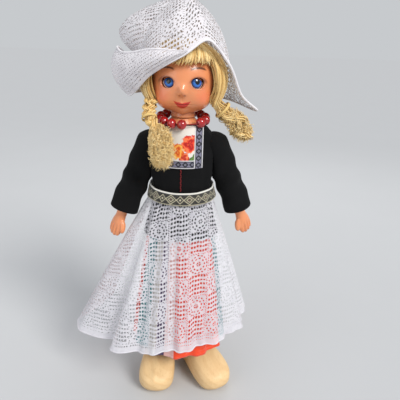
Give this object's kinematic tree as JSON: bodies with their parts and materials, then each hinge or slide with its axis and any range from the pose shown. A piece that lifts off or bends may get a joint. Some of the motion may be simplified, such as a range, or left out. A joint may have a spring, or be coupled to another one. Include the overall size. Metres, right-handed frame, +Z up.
{
  "type": "strung costume doll",
  "caption": "Standing plastic costume doll in Dutch dress: turning head, swinging arms and legs, sleep eyes, lace cap and apron, wooden clogs.",
  "frame": {"origin": "on the floor, under the middle of the standing figure's outline", "axes": "+Z up along the standing doll, -Y the way that it faces, +X towards its own left hand"},
  "size_m": [0.0962, 0.0554, 0.2],
  "materials": {
    "skin": "glossy moulded tan plastic with rosy cheeks",
    "eye": "glossy white ball with a blue iris and a skin-coloured lid",
    "steel": "plain drawn wire",
    "elastic": "covered elastic cord",
    "weight": "dull grey casting on wire bows",
    "bracket": "plain moulded plastic",
    "hair": "fine golden blond fibre",
    "cap_lace": "starched white lace",
    "black_cloth": "plain black woven cotton",
    "bib_cloth": "white cotton printed with plain roses",
    "ribbon": "woven dark ribbon with cream diamonds",
    "red_thread": "dark red thread",
    "striped_cloth": "crinkled cotton with broad upright stripes",
    "apron_lace": "white filet lace with a solid hem",
    "beads": "glossy dark red",
    "wood": "bare sanded pale wood"
  },
  "bodies": {
    "torso": {"torso_front": "skin", "torso_back": "skin", "shoulder_elastic": "elastic", "hip_elastic": "elastic", "jacket_bodice": "black_cloth", "bib_panel": "bib_cloth", "bib_border": "ribbon", "jacket_placket": "red_thread", "belt": "ribbon", "skirt": "striped_cloth", "apron": "apron_lace", "necklace_beads": "beads", "necklace_thread": "red_thread"},
    "head": {"head_front": "skin", "head_back": "skin", "neck_hook": "steel", "eye_bracket": "bracket", "wig_cap": "hair", "hair_bunch_right": "hair", "hair_bunch_left": "hair", "hair_tie_right": "hair", "hair_tie_left": "hair", "cap_crown": "cap_lace", "cap_cuff": "cap_lace"},
    "eyes": {"eye_right": "eye", "eye_left": "eye", "eye_axle": "steel", "eye_weight": "weight"},
    "arm_right": {"arm_right": "skin", "sleeve_right": "black_cloth"},
    "arm_left": {"arm_left": "skin", "sleeve_left": "black_cloth"},
    "leg_right": {"leg_right": "skin", "clog_right": "wood"},
    "leg_left": {"leg_left": "skin", "clog_left": "wood"}
  },
  "joints": [
    {"name": "neck_turn", "type": "hinge", "parent": "torso", "child": "head", "pos_m": [0.00955, 0.00268, 0.1465], "axis": [0, 0, 1], "range_deg": [-35, 35], "deforming": ["hair_bunch_right", "hair_bunch_left"]},
    {"name": "eye_rock", "type": "hinge", "parent": "head", "child": "eyes", "pos_m": [0.00955, -0.00646, 0.1634], "axis": [1, 0, 0], "range_deg": [0, 80]},
    {"name": "shoulder_right", "type": "hinge", "parent": "torso", "child": "arm_right", "pos_m": [-0.00595, 0.00268, 0.135], "axis": [-1, 0, 0], "range_deg": [-40, 90]},
    {"name": "shoulder_left", "type": "hinge", "parent": "torso", "child": "arm_left", "pos_m": [0.02505, 0.00268, 0.135], "axis": [-1, 0, 0], "range_deg": [-30, 100]},
    {"name": "hip_right", "type": "hinge", "parent": "torso", "child": "leg_right", "pos_m": [-0.00075, 0.00268, 0.088], "axis": [-1, 0, 0], "range_deg": [-12, 12]},
    {"name": "hip_left", "type": "hinge", "parent": "torso", "child": "leg_left", "pos_m": [0.01985, 0.00268, 0.088], "axis": [-1, 0, 0], "range_deg": [-12, 12]}
  ]
}
